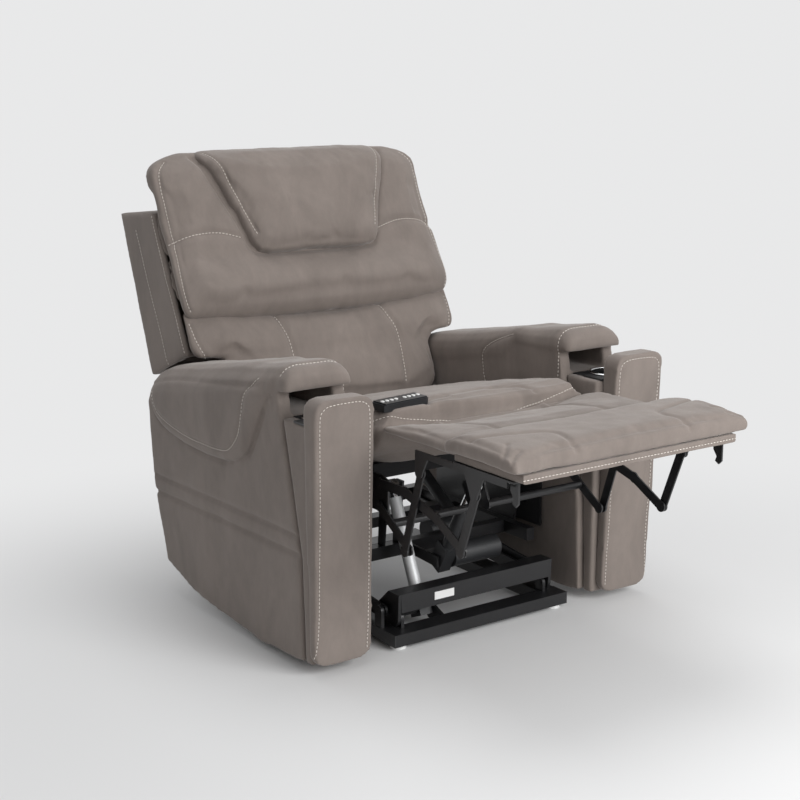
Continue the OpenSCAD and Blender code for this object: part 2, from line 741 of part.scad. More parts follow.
module back_hinge_plates() {
    x0 = upright_x[1];
    on_floor() color(steel) on_back() {
        both_sides() {
            difference() {
                slab([[3, 10], [40, 10], [40, 120], [3, 120]], x0, x0 + 5);
                for (z = [50, 100]) cross_bar([20, z], 8, x0 - 1, x0 + 6);
            }
            cross_bar([0, 0], 44, x0, x0 + 5);
            cross_bar([0, 0], 16, x0 + 4, plate_x + plate_t);
            head_ear();
        }
        strap([45, 0], recline_pin, 24, recline_act_x + 12, 8);
        block([recline_act_x + 12, 30, -20], [recline_act_x + 20, 50, 20]);
        cross_bar(recline_pin, 12, recline_act_x - 9, recline_act_x + 13);
    }
}

// An ear on the top of each upright that carries the headrest's hinge pin.
module head_ear() {
    difference() {
        union() {
            cross_bar(head_r, 24, 227, 232);
            slab([[2, 405], [2, 438], [-14, 462], [-30, 451]], 227, 232);
        }
        cross_bar(head_r, 12.4, 226, 233);
    }
}

// Padded outer back: side walls, rear wall and top, open towards the cushions.
module back_shell() {
    on_floor() color(taupe) on_back() difference() {
        slab(shell_outline, -shell_half_w, shell_half_w);
        slab([[-30, 146 + 8], [-30, 500], [0, 505], [155 - shell_wall, 581 - shell_wall - 8],
            [192 - shell_wall, 160 + 8], [100, 150]], -shell_half_w + shell_wall, shell_half_w - shell_wall);
        block([-head_half_w - 4, -30, 440], [head_half_w + 4, 18, 600]);
        block([-290, -30, 140], [290, 38, 165]);
    }
}

module lumbar_cushion() {
    on_floor() color(taupe) on_back() cushion([
        [-34, -26, lumbar_rear, 238], [-20, -34, lumbar_rear, 246], [40, -46, lumbar_rear, 249],
        [90, -10 - lumbar_crown * 0.8, lumbar_rear - 2, 277], [132, -lumbar_crown, lumbar_rear - 2, 277],
        [150, -lumbar_crown, -19, 330], [158, -lumbar_crown, -21, 372],
        [190, -lumbar_crown + 4, -21, 376], [222, -50, -21, 372], [236, -36, -22, 362]], k = 2);
}

module shoulder_cushion() {
    on_floor() color(taupe) on_back() cushion([
        [236.5, -36, -22, 362], [250, -52, -21, 372], [290, -70, -21, 376], [360, -78, -21, 377],
        [404, -72, -21, 377], [426, -54, -21, 372], [438, -38, -22, 356]]);
}

// ---------- Headrest ----------

module head_frame() {
    on_floor() color(steel) on_back() {
        block([-230, -18, 470], [230, -12, 500]);
        both_sides() block([200, -18, 456], [224, -12, 640]);
        both_sides() cross_bar(head_r, 12, 201, 233);
    }
}

module head_cushion() {
    on_floor() color(taupe) on_back() difference() {
        cushion([
            [453, -34, -24, head_half_w - 16], [474, -60, 10, head_half_w - 4], [510, -79, 14, head_half_w],
            [560, -86, 14, head_half_w], [610, -84, 8, head_half_w - 4], [640, -70, -4, head_half_w - 28],
            [654, -48, -24, head_half_w - 70]]);
        block([-232, -18.3, 440], [232, -11.7, 642]);
        both_sides() cross_bar(head_r, 12.6, 199, 236);
        both_sides() cross_bar(head_r, 34, 225, 234);
    }
}

// ---------- Handset ----------

module on_handset() translate(handset_at) rotate(handset_tilt) children();

function button_place(i) = [(i % 2 == 0 ? -1 : 1) * handset_l / 4 + (floor(i / 2) - 1.5) * 13, 0];
face_z = handset_t / 2;

module handset_case() {
    on_floor() color(black_plastic) on_handset() difference() {
        union() {
            block([-handset_l / 2 + 12, -handset_w / 2, -face_z],
                [handset_l / 2 - 12, handset_w / 2, face_z - 3]);
            for (x = [-1, 1]) translate([x * (handset_l / 2 - 12), 0, -face_z])
                intersection() {
                    block([-12, -handset_w / 2, 0], [12, handset_w / 2, handset_t - 3]);
                    cylinder(h = handset_t - 3, d = handset_w);
                }
        }
        for (i = [0 : 7]) translate([button_place(i)[0], 0, face_z - 7])
            cylinder(h = 10, d = button_d + 3);
    }
}

module handset_face() {
    on_floor() color(black_plastic) on_handset() difference() {
        block([-handset_l / 2 + 4, -handset_w / 2 + 3, face_z - 3],
            [handset_l / 2 - 4, handset_w / 2 - 3, face_z]);
        for (i = [0 : 7]) translate([button_place(i)[0], 0, face_z - 4]) cylinder(h = 6, d = button_d + 1);
    }
}

// A press button with a wider foot under the face plate.
module button(i) {
    on_floor() color(white_plastic) on_handset() translate([button_place(i)[0], 0, 0]) {
        translate([0, 0, face_z - 7 + button_travel + 0.5]) cylinder(h = 7, d = button_d);
    }
}

module button_1() button(0);
module button_2() button(1);
module button_3() button(2);
module button_4() button(3);
module button_5() button(4);
module button_6() button(5);
module button_7() button(6);
module button_8() button(7);

base_frame();
base_end_caps();
glides();
lift_arm_weldment();
rating_plate();
toggle_links();
lift_motor();
lift_rod();
carriage_frame();
side_plate_left();
side_plate_right();
seat_frame();
seat_webbing();
seat_cushion();
control_box();
arm_frame_left();
arm_frame_right();
arm_body_left();
arm_body_right();
arm_cap_left();
arm_cap_right();
arm_neck_left();
arm_neck_right();
arm_post_left();
arm_post_right();
cup_trays();
cup_rings();
leg_pad();
footrest_board();
footrest_pad();
footrest_bracket_left();
footrest_bracket_right();
bracket_springs();
rear_lower_links();
rear_upper_links();
front_lower_links();
front_upper_links();
footrest_motor();
footrest_rod();
back_frame();
back_hinge_plates();
back_shell();
lumbar_cushion();
shoulder_cushion();
head_frame();
head_cushion();
recline_motor();
recline_rod();
handset_case();
handset_face();
button_1();
button_2();
button_3();
button_4();
button_5();
button_6();
button_7();
button_8();
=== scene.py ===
import math

import bmesh
import bpy
import numpy as np
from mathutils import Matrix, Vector, noise
from mathutils.bvhtree import BVHTree
from mathutils.kdtree import KDTree


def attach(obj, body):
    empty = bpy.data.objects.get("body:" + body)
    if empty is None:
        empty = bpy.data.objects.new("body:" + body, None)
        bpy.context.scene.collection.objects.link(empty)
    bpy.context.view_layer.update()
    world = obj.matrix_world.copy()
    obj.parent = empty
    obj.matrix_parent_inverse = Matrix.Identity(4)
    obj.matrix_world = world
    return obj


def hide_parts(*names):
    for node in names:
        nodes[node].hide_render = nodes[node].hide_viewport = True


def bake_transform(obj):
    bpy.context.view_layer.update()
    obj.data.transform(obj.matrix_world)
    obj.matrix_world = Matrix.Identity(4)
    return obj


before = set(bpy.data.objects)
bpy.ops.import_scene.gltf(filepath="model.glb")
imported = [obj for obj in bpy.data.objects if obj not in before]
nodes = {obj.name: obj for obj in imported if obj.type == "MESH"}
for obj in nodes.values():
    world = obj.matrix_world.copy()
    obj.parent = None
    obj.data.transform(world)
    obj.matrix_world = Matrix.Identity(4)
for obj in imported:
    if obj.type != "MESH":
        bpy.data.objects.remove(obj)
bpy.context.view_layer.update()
scene = bpy.context.scene


# ---------- Cover cloth ----------
# All covers are one taupe microfibre with a short suede nap, cut into panels and sewn with pale thread.
# The nap is brushed unevenly, so the cloth looks mottled, and it is a little paler where it turns away.

def group_with(name, inputs, outputs):
    """An empty shader node group with named inputs (name, type, value) and outputs (name, type)."""
    tree = bpy.data.node_groups.new(name, "ShaderNodeTree")
    for label, kind, value in inputs:
        socket = tree.interface.new_socket(label, in_out="INPUT", socket_type=kind)
        socket.default_value = value
    for label, kind in outputs:
        tree.interface.new_socket(label, in_out="OUTPUT", socket_type=kind)
    return tree, tree.nodes.new("NodeGroupInput"), tree.nodes.new("NodeGroupOutput")


def noise_node(tree, vector, scale, detail=4.0, roughness=0.6, distortion=0.0):
    """A noise texture's value at a vector."""
    n = tree.nodes.new("ShaderNodeTexNoise")
    n.inputs["Scale"].default_value = scale
    n.inputs["Detail"].default_value = detail
    n.inputs["Roughness"].default_value = roughness
    n.inputs["Distortion"].default_value = distortion
    tree.links.new(vector, n.inputs["Vector"])
    return n.outputs["Fac"]


def blend_values(tree, parts):
    """The weighted sum of (socket, weight) pairs."""
    total = None
    for socket, weight in parts:
        m = tree.nodes.new("ShaderNodeMath")
        m.operation = "MULTIPLY_ADD"
        m.inputs[1].default_value = weight
        m.inputs[2].default_value = 0.0
        tree.links.new(socket, m.inputs[0])
        if total is not None:
            tree.links.new(total, m.inputs[2])
        total = m.outputs[0]
    return total


def object_coordinates(tree, stretch=(1, 1, 1)):
    """The piece's own coordinates, so that the finish moves with it."""
    place = tree.nodes.new("ShaderNodeTexCoord")
    turn = tree.nodes.new("ShaderNodeMapping")
    turn.inputs["Scale"].default_value = stretch
    tree.links.new(place.outputs["Object"], turn.inputs["Vector"])
    return turn.outputs["Vector"]


nap, nap_in, nap_out = group_with(
    "Suede nap",
    [("Pale", "NodeSocketColor", (0.2, 0.17, 0.15, 1)), ("Dark", "NodeSocketColor", (0.1, 0.09, 0.08, 1))],
    [("Colour", "NodeSocketColor"), ("Height", "NodeSocketFloat"), ("Roughness", "NodeSocketFloat")],
)
brushed = object_coordinates(nap, (1, 1, 0.45))
patches = noise_node(nap, brushed, 7.0, 5.0, 0.62, 0.8)
strokes = noise_node(nap, brushed, 42.0, 4.0, 0.65, 0.4)
pile = noise_node(nap, object_coordinates(nap), 620.0, 3.0, 0.7)
shade = blend_values(nap, [(patches, 0.62), (strokes, 0.28), (pile, 0.10)])
spread = nap.nodes.new("ShaderNodeMapRange")
spread.inputs["From Min"].default_value = 0.34
spread.inputs["From Max"].default_value = 0.66
nap.links.new(shade, spread.inputs["Value"])
tones = nap.nodes.new("ShaderNodeMix")
tones.data_type = "RGBA"
nap.links.new(spread.outputs["Result"], tones.inputs["Factor"])
nap.links.new(nap_in.outputs["Dark"], tones.inputs["A"])
nap.links.new(nap_in.outputs["Pale"], tones.inputs["B"])
nap.links.new(tones.outputs["Result"], nap_out.inputs["Colour"])
nap.links.new(blend_values(nap, [(pile, 0.75), (strokes, 0.25)]), nap_out.inputs["Height"])
rough = nap.nodes.new("ShaderNodeMapRange")
rough.inputs["To Min"].default_value = 0.78
rough.inputs["To Max"].default_value = 0.95
nap.links.new(strokes, rough.inputs["Value"])
nap.links.new(rough.outputs["Result"], nap_out.inputs["Roughness"])


def material_with(name, base=(0.5, 0.5, 0.5), roughness=0.5, metallic=0.0):
    """A Principled material with plain values; returns the material, its tree and its shader."""
    m = bpy.data.materials.new(name)
    m.use_nodes = True
    shader = m.node_tree.nodes["Principled BSDF"]
    shader.inputs["Base Color"].default_value = (*base, 1)
    shader.inputs["Roughness"].default_value = roughness
    shader.inputs["Metallic"].default_value = metallic
    m.diffuse_color = (*base, 1)
    return m, m.node_tree, shader


def bump_into(tree, shader, height, strength, distance):
    """Roughens a shader by a height value."""
    b = tree.nodes.new("ShaderNodeBump")
    b.inputs["Strength"].default_value = strength
    b.inputs["Distance"].default_value = distance
    tree.links.new(height, b.inputs["Height"])
    tree.links.new(b.outputs["Normal"], shader.inputs["Normal"])


def suede(name, pale, dark):
    """A napped cloth between a pale and a dark tone."""
    m, tree, shader = material_with(name, pale, 0.88)
    g = tree.nodes.new("ShaderNodeGroup")
    g.node_tree = nap
    g.inputs["Pale"].default_value = (*pale, 1)
    g.inputs["Dark"].default_value = (*dark, 1)
    tree.links.new(g.outputs["Colour"], shader.inputs["Base Color"])
    tree.links.new(g.outputs["Roughness"], shader.inputs["Roughness"])
    bump_into(tree, shader, g.outputs["Height"], 0.35, 0.0012)
    shader.inputs["Sheen Weight"].default_value = 0.3
    shader.inputs["Sheen Roughness"].default_value = 0.45
    shader.inputs["Sheen Tint"].default_value = (0.93, 0.9, 0.88, 1)
    shader.inputs["Specular IOR Level"].default_value = 0.25
    return m


cover_cloth = suede("taupe_microfibre", (0.238, 0.202, 0.180), (0.172, 0.145, 0.129))


# ---------- Seat cushion ----------
# A foam block wrapped in fibre under the cover. Its front rolls over and carries a doubled seam that
# dips in the middle, and two short seams part the middle panel from the sides.

def on_floor(x, y, z):
    """A point given in millimetres from the front face of the arm posts."""
    return Vector((x / 1000, (y - 295) / 1000, z / 1000))


def smooth_run(points, count):
    """Rows along a smooth curve that passes through the given rows, count of them from first to last."""
    last = len(points) - 1
    run = []
    for v in np.linspace(0, last, count):
        i = min(int(v), last - 1)
        f = v - i
        a, b, c, d = points[max(i - 1, 0)], points[i], points[i + 1], points[min(i + 2, last)]
        run.append(0.5 * (2 * b + (c - a) * f + (2 * a - 5 * b + 4 * c - d) * f * f
                          + (3 * b - a - 3 * c + d) * f ** 3))
    return np.array(run)


def piece_from(bm, name):
    """Turns a bmesh into an object in the scene."""
    mesh = bpy.data.meshes.new(name)
    bm.to_mesh(mesh)
    bm.free()
    obj = bpy.data.objects.new(name, mesh)
    scene.collection.objects.link(obj)
    return obj


def rounded_ring(half, low, high, count, fullness):
    """Points round a padded cross-section: (across, through) pairs in millimetres."""
    ring = []
    for i in range(count):
        a = 2 * math.pi * i / count
        c, s = math.cos(a), math.sin(a)
        ring.append((half * math.copysign(abs(c) ** (2 / fullness), c),
                     (low + high) / 2 + (high - low) / 2 * math.copysign(abs(s) ** (2 / fullness), s)))
    return ring


def lofted(name, stations, place, fullness=4.5):
    """A closed skin through [along, low, high, half width] stations, set by place(across, through, along)."""
    sides, rings_between = 40, 5
    st = np.array(stations, float)
    bm = bmesh.new()
    rings = []
    for along, low, high, half in smooth_run(st, (len(st) - 1) * rings_between + 1):
        ring = rounded_ring(half, low, high, sides, fullness)
        rings.append([bm.verts.new(place(x, q, along)) for x, q in ring])
    for r, s in zip(rings, rings[1:]):
        for i in range(sides):
            j = (i + 1) % sides
            bm.faces.new((r[i], r[j], s[j], s[i]))
    bm.faces.new(rings[0])
    bm.faces.new(rings[-1])
    bmesh.ops.recalc_face_normals(bm, faces=bm.faces)
    return piece_from(bm, name)


def baked(obj):
    """The object's mesh with its modifiers applied."""
    bpy.context.view_layer.update()
    mesh = bpy.data.meshes.new_from_object(obj.evaluated_get(bpy.context.evaluated_depsgraph_get()))
    obj.modifiers.clear()
    old, obj.data = obj.data, mesh
    bpy.data.meshes.remove(old)
    return obj


def voxelled(obj, size, rounds):
    """Even quads over the whole skin, with edges rounded over as padding rounds them."""
    r = obj.modifiers.new("even", "REMESH")
    r.mode = "VOXEL"
    r.voxel_size = size
    s = obj.modifiers.new("round", "SMOOTH")
    s.factor = 0.5
    s.iterations = rounds
    return baked(obj)


def points_of(obj):
    co = np.empty(len(obj.data.vertices) * 3)
    obj.data.vertices.foreach_get("co", co)
    return co.reshape(-1, 3)


def normals_of(obj):
    no = np.empty(len(obj.data.vertices) * 3)
    obj.data.vertices.foreach_get("normal", no)
    return no.reshape(-1, 3)


def set_points(obj, co):
    obj.data.vertices.foreach_set("co", np.ascontiguousarray(co).ravel())
    obj.data.update()


def stuffed(obj, cap, inset, pressure=4.0, axes=((1, 0, 0), (0, 1, 0), (0, 0, 1))):
    """Fills a cover: the skin, drawn in by inset, swells under pressure by no more than cap, and is then
    brought back to the cover's own size along axes."""
    last_frame, held_back = 20, 0.75
    whole, way = points_of(obj), normals_of(obj)
    start = whole - way * inset
    set_points(obj, start)
    cloth = obj.modifiers.new("stuffing", "CLOTH")
    s = cloth.settings
    s.quality = 4
    s.mass = 0.3
    s.tension_stiffness = s.compression_stiffness = 12
    s.shear_stiffness = 6
    s.bending_stiffness = 0.6
    s.use_pressure = True
    s.uniform_pressure_force = pressure
    s.effector_weights.gravity = 0
    cloth.point_cache.frame_start = 1
    cloth.point_cache.frame_end = last_frame
    for f in range(1, last_frame + 1):
        scene.frame_set(f)
    ev = obj.evaluated_get(bpy.context.evaluated_depsgraph_get())
    co = np.empty(len(ev.data.vertices) * 3)
    ev.data.vertices.foreach_get("co", co)
    move = np.nan_to_num(co.reshape(-1, 3) - start)
    obj.modifiers.clear()
    scene.frame_set(1)
    move -= held_back * np.minimum(0, (move * way).sum(1, keepdims=True)) * way
    far = np.linalg.norm(move, axis=1, keepdims=True)
    filled = start + move * np.minimum(1, cap / np.maximum(far, 1e-9))
    turn = np.array(axes)
    a, b = whole @ turn.T, filled @ turn.T
    b = (b - b.min(0)) / np.ptp(b, axis=0) * np.ptp(a, axis=0) + a.min(0)
    set_points(obj, b @ turn)
    return obj


def subdivided(obj, smooth=4):
    """Twice as fine, with the steps of the even quads smoothed away."""
    s = obj.modifiers.new("finer", "SUBSURF")
    s.levels = s.render_levels = 1
    m = obj.modifiers.new("even", "SMOOTH")
    m.factor = 0.5
    m.iterations = smooth
    return baked(obj)


def creased(obj, amount, scale, seed):
    """Soft irregular creases of the cover, amount deep."""
    co, no = points_of(obj), normals_of(obj)
    start = Vector((seed, 0, 0))
    shift = np.array([noise.fractal(Vector(c * scale) + start, 0.9, 2.1, 3) for c in co])
    set_points(obj, co + no * (shift * amount)[:, None])
    return obj


def laid(obj, path, toward, core=None):
    """A path laid on the cover: a smooth curve through its points, dropped along toward or to a core point."""
    spacing, run_up, reach = 0.004, 0.4, 1.2
    p = np.array([tuple(v) for v in path])
    fine = smooth_run(p, 12 * len(p))
    run = np.r_[0, np.cumsum(np.linalg.norm(np.diff(fine, axis=0), axis=1))]
    at = np.arange(0, run[-1], spacing)
    even = np.column_stack([np.interp(at, run, fine[:, k]) for k in range(3)])
    tree = BVHTree.FromObject(obj, bpy.context.evaluated_depsgraph_get())
    out = []
    for q in even:
        if core is None:
            way = Vector(toward).normalized()
            hit, normal, _, _ = tree.ray_cast(Vector(q) - way * run_up, way, reach)
        else:
            hit, normal, _, _ = tree.ray_cast(Vector(q), (core - Vector(q)).normalized(), reach)
        if hit is not None:
            out.append((hit, normal))
    return out


def sewn(obj, lines, depth=0.0035, width=0.006):
    """Draws the cover in along laid lines, as a seam does."""
    co, no = points_of(obj), normals_of(obj)
    pts = np.array([tuple(h) for line in lines for h, _ in line])
    kd = KDTree(len(pts))
    for i, q in enumerate(pts):
        kd.insert(q, i)
    kd.balance()
    near = np.array([kd.find(c)[2] for c in co])
    set_points(obj, co - no * (depth * np.exp(-(near / width) ** 2))[:, None])
    return obj


def thread_tree():
    """Geometry nodes that set a short stitch along every edge line of a mesh."""
    tree = bpy.data.node_groups.new("Topstitching", "GeometryNodeTree")
    tree.interface.new_socket("Geometry", in_out="INPUT", socket_type="NodeSocketGeometry")
    for label, value in (("Pitch", 0.0088), ("Stitch length", 0.0062), ("Thread", 0.0019)):
        tree.interface.new_socket(label, in_out="INPUT", socket_type="NodeSocketFloat").default_value = value
    tree.interface.new_socket("Material", in_out="INPUT", socket_type="NodeSocketMaterial")
    tree.interface.new_socket("Geometry", in_out="OUTPUT", socket_type="NodeSocketGeometry")
    n, link = tree.nodes, tree.links.new
    gi, go = n.new("NodeGroupInput"), n.new("NodeGroupOutput")
    curve = n.new("GeometryNodeMeshToCurve")
    even = n.new("GeometryNodeResampleCurve")
    even.mode = "LENGTH"
    link(gi.outputs["Geometry"], curve.inputs["Mesh"])
    link(curve.outputs["Curve"], even.inputs["Curve"])
    link(gi.outputs["Pitch"], even.inputs["Length"])
    tangent = n.new("GeometryNodeInputTangent")
    turn = n.new("FunctionNodeAlignRotationToVector")
    turn.axis = "Z"
    link(tangent.outputs["Tangent"], turn.inputs["Vector"])
    bead = n.new("GeometryNodeMeshUVSphere")
    bead.inputs["Segments"].default_value = 6
    bead.inputs["Rings"].default_value = 4
    bead.inputs["Radius"].default_value = 0.5
    size = n.new("ShaderNodeCombineXYZ")
    link(gi.outputs["Thread"], size.inputs["X"])
    link(gi.outputs["Thread"], size.inputs["Y"])
    link(gi.outputs["Stitch length"], size.inputs["Z"])
    lay = n.new("GeometryNodeInstanceOnPoints")
    link(even.outputs["Curve"], lay.inputs["Points"])
    link(bead.outputs["Mesh"], lay.inputs["Instance"])
    link(turn.outputs["Rotation"], lay.inputs["Rotation"])
    link(size.outputs["Vector"], lay.inputs["Scale"])
    real = n.new("GeometryNodeRealizeInstances")
    paint = n.new("GeometryNodeSetMaterial")
    link(lay.outputs["Instances"], real.inputs["Geometry"])
    link(real.outputs["Geometry"], paint.inputs["Geometry"])
    link(gi.outputs["Material"], paint.inputs["Material"])
    link(paint.outputs["Geometry"], go.inputs["Geometry"])
    return tree


stitch_tree = thread_tree()
pale_thread, thread_nodes, thread_shader = material_with("pale_thread", (0.56, 0.51, 0.46), 0.7)
twist = noise_node(thread_nodes, object_coordinates(thread_nodes), 900.0, 2.0)
tint = thread_nodes.nodes.new("ShaderNodeValToRGB")
tint.color_ramp.elements[0].color = (0.58, 0.53, 0.48, 1)
tint.color_ramp.elements[1].color = (0.82, 0.77, 0.71, 1)
thread_nodes.links.new(twist, tint.inputs["Fac"])
thread_nodes.links.new(tint.outputs["Color"], thread_shader.inputs["Base Color"])
bump_into(thread_nodes, thread_shader, twist, 0.3, 0.0004)


def topstitched(name, lines):
    """One mesh of stitches along laid lines, standing just proud of the cover."""
    proud, longest_skip = 0.0007, 0.02
    bm = bmesh.new()
    for line in lines:
        last = None
        for hit, normal in line:
            v = bm.verts.new(hit + normal * proud)
            if last is not None and (v.co - last.co).length < longest_skip:
                bm.edges.new((last, v))
            last = v
    obj = piece_from(bm, name)
    m = obj.modifiers.new("stitches", "NODES")
    m.node_group = stitch_tree
    ids = {s.name: s.identifier for s in stitch_tree.interface.items_tree if s.in_out == "INPUT"}
    m[ids["Pitch"]] = 0.0088
    m[ids["Material"]] = pale_thread
    return baked(obj)


def dressed(obj):
    """Puts the cover cloth on a piece and shades it smooth."""
    obj.data.materials.clear()
    obj.data.materials.append(cover_cloth)
    for p in obj.data.polygons:
        p.use_smooth = True
        p.material_index = 0
    return obj


seat = lofted("seat_cushion_cover", [
    [26, 484, 508, 262], [31, 466, 522, 280], [52, 440, 536, 287], [90, 419, 541, 290], [170, 406, 529, 290],
    [300, 388, 498, 290], [420, 371, 468, 290], [520, 357, 442, 286], [562, 357, 425, 278], [573, 370, 406, 266],
], lambda x, z, y: on_floor(x, y, z))
voxelled(seat, 0.008, 2)
stuffed(seat, 0.022, 0.008)
subdivided(seat)
shape, facing = points_of(seat), normals_of(seat)[:, 2]
x, y, z = shape[:, 0], shape[:, 1] + 0.295, shape[:, 2]
# the top stands level with the foam block, so that the handset rests on it
level = np.interp(y, [0.026, 0.031, 0.052, 0.09, 0.17, 0.3, 0.42, 0.52],
                  [0.508, 0.522, 0.536, 0.541, 0.529, 0.498, 0.468, 0.442])
on_top = np.clip((facing - 0.2) / 0.3, 0, 1) * np.clip((0.285 - np.abs(x)) / 0.03, 0, 1)
z += on_top * np.clip(level - 0.001 - z, 0, 0.03)
# the front roll, higher on the sitter's right
crest = np.exp(-((y - 0.037) / 0.016) ** 2) * (0.004 + 0.013 * np.clip((0.02 - x) / 0.12, 0, 1))
crest *= np.clip((0.28 - np.abs(x)) / 0.04, 0, 1)
z += crest * np.clip((z - 0.47) / 0.04, 0, 1)
half_room = 0.2985
shape[:, 0] = np.clip(x * 1.015, -half_room, half_room)
set_points(seat, shape)
smile = [on_floor(x, y, z) for x, y, z in
         ((-288, 50, 530), (-236, 36, 524), (-130, 29, 509), (0, 26, 500), (130, 29, 509), (236, 36, 524),
          (288, 50, 530))]
into_front_roll = (0, 0.8, -0.6)
smile_rows = [laid(seat, [v + Vector((0, 0, drop)) for v in smile], into_front_roll) for drop in (0, -0.013)]
short_seams = [laid(seat, [on_floor(s * x, y, 600) for x, y in ((150, 42), (146, 62), (120, 84), (60, 96))],
                    (0, 0, -1)) for s in (-1, 1)]
sewn(seat, smile_rows, 0.005, 0.007)
sewn(seat, short_seams, 0.004, 0.007)
creased(seat, 0.0024, 9.0, 1.0)
dressed(seat)
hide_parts("seat_cushion")
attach(seat, "seat")
seat_thread = topstitched("seat_topstitching", [laid(seat, smile, into_front_roll)])
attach(seat_thread, "seat")


# ---------- Back cushions ----------
# Two fibre-filled pillows on the back frame: the lower one supports the small of the back, the upper one
# runs on over the headrest, and a deep fold lies between them.

lean = math.radians(26)


def on_back(x, q, p):
    """A point given in millimetres in the back's own frame: across, front to rear, and up from the hinge."""
    return on_floor(x, 640 + q * math.cos(lean) + p * math.sin(lean),
                    430 - q * math.sin(lean) + p * math.cos(lean))


into_back = (0, math.cos(lean), -math.sin(lean))
up_back = (0, math.sin(lean), math.cos(lean))
back_axes = ((1, 0, 0), into_back, up_back)


def along_back(co, way, q=0):
    """How far points lie along a direction of the back, in millimetres, from its hinge or from q behind it."""
    return (co - np.array(on_back(0, q, 0))) @ np.array(way) * 1000


def fold_sag(obj, low, high, depth):
    """Lets the cover sag along the fold: full depth below low, none above high, most in the middle."""
    co = points_of(obj)
    share = np.clip((along_back(co, up_back) - high) / (low - high), 0, 1)
    towards_middle = 1 - 0.9 * (co[:, 0] / 0.392) ** 2
    set_points(obj, co - np.array(up_back) * (depth / 1000 * share * towards_middle)[:, None])
    return obj


def squared_off(obj, profile):
    """Brings the boxing of a back cushion out flat to a [(up, half width)] profile, in millimetres, and
    eases the edge in front of it and the whole of the top corner."""
    front, head, rounds = -72, 535, 30
    co, sideways = points_of(obj), np.abs(normals_of(obj)[:, 0])
    p, q = along_back(co, up_back), along_back(co, into_back)
    across = np.abs(co[:, 0]) * 1000
    # the lower corner rises to the rear, where it swings down onto the arm as the back comes upright
    want = np.interp(p - 0.2 * (q - front), *zip(*profile))
    flat = 0.9 * np.clip((sideways - 0.3) / 0.35, 0, 1) * np.clip((q + 84) / 16, 0, 1)
    flat *= np.clip((across - want + 60) / 20, 0, 1)
    co[:, 0] = np.sign(co[:, 0]) * (across + (want - across) * flat) / 1000
    ends = np.empty(len(obj.data.edges) * 2, dtype=np.int64)
    obj.data.edges.foreach_get("vertices", ends)
    a, b = ends.reshape(-1, 2).T
    neighbours = np.bincount(ends, minlength=len(co))[:, None]
    eased = 0.6 * np.clip((across - want + 62) / 18, 0, 1)
    eased *= np.maximum(np.clip((-q - 28) / 14, 0, 1), np.clip((p - head) / 20, 0, 1))
    for _ in range(rounds):
        near = np.zeros_like(co)
        np.add.at(near, a, co[b])
        np.add.at(near, b, co[a])
        co += (near / neighbours - co) * eased[:, None]
    set_points(obj, co)
    return obj


upper = lofted("upper_back_cover", [
    [229, -56, -22, 376], [234, -72, -21, 386], [248, -90, -21, 392], [284, -97, -21, 394], [345, -92, -21, 394],
    [410, -86, -21, 394], [450, -84, -21, 393], [500, -86, -21, 392], [545, -88, -21, 391], [566, -88, 14, 391],
    [600, -85, 18, 388], [620, -78, 17, 374], [636, -68, 14, 352], [648, -56, -2, 322], [655, -44, -20, 286]],
    on_back, fullness=6.0)
voxelled(upper, 0.008, 2)
stuffed(upper, 0.024, 0.009, axes=back_axes)
subdivided(upper, 26)
shape = points_of(upper)
rear, height = along_back(shape, into_back, -30), along_back(shape, up_back)
# a full roll over the fold and a hollow under the head panel
roll = 17 * np.exp(-((height - 280) / 50) ** 2) - 9 * np.exp(-((height - 368) / 38) ** 2)
front = np.clip(-rear / 20, 0, 1) * np.clip(1 - (np.abs(shape[:, 0]) / 0.385) ** 4, 0, 1)
shape -= np.array(into_back) * (roll / 1000 * front)[:, None]
set_points(upper, shape)
squared_off(upper, [(229, 384), (245, 391), (290, 394), (600, 391), (620, 377), (636, 352), (655, 300)])
# the rear of the head section draws in over the outer back
shape = points_of(upper)
shape[:, 0] *= 1 - 0.11 * np.clip(rear / 22, 0, 1) * np.clip((height - 530) / 30, 0, 1)
set_points(upper, shape)
fold_sag(upper, 232, 330, 36)
before = -300
shoulder_arcs = [[on_back(s * x, before, p) for x, p in ((388, 415), (334, 426), (268, 428), (204, 411))]
                 for s in (-1, 1)]
sewn(upper, [laid(upper, path, into_back) for path in shoulder_arcs], 0.006, 0.010)
boxing = [([on_back(s * x, -74, p) for x, p in ((388, 244), (390, 300), (390, 403), (389, 500), (387, 566),
                                                (380, 600), (364, 624))],
           Vector((-s * 0.7, 0, 0)) + Vector(into_back) * 0.7) for s in (-1, 1)]
sewn(upper, [laid(upper, path, way) for path, way in boxing], 0.0035, 0.006)
round_panel = [[on_back(s * x, before, p) for x, p in ((275, 632), (250, 566), (211, 470), (186, 392), (166, 371),
                                                       (90, 368), (0, 367))] for s in (-1, 1)]
sewn(upper, [laid(upper, path, into_back) for path in round_panel], 0.009, 0.009)
creased(upper, 0.0032, 7.0, 4.0)
dressed(upper)
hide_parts("shoulder_cushion", "head_cushion")
upper_lines = [laid(upper, path, into_back) for path in shoulder_arcs]
upper_lines += [laid(upper, path, way) for path, way in boxing]
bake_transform(upper)

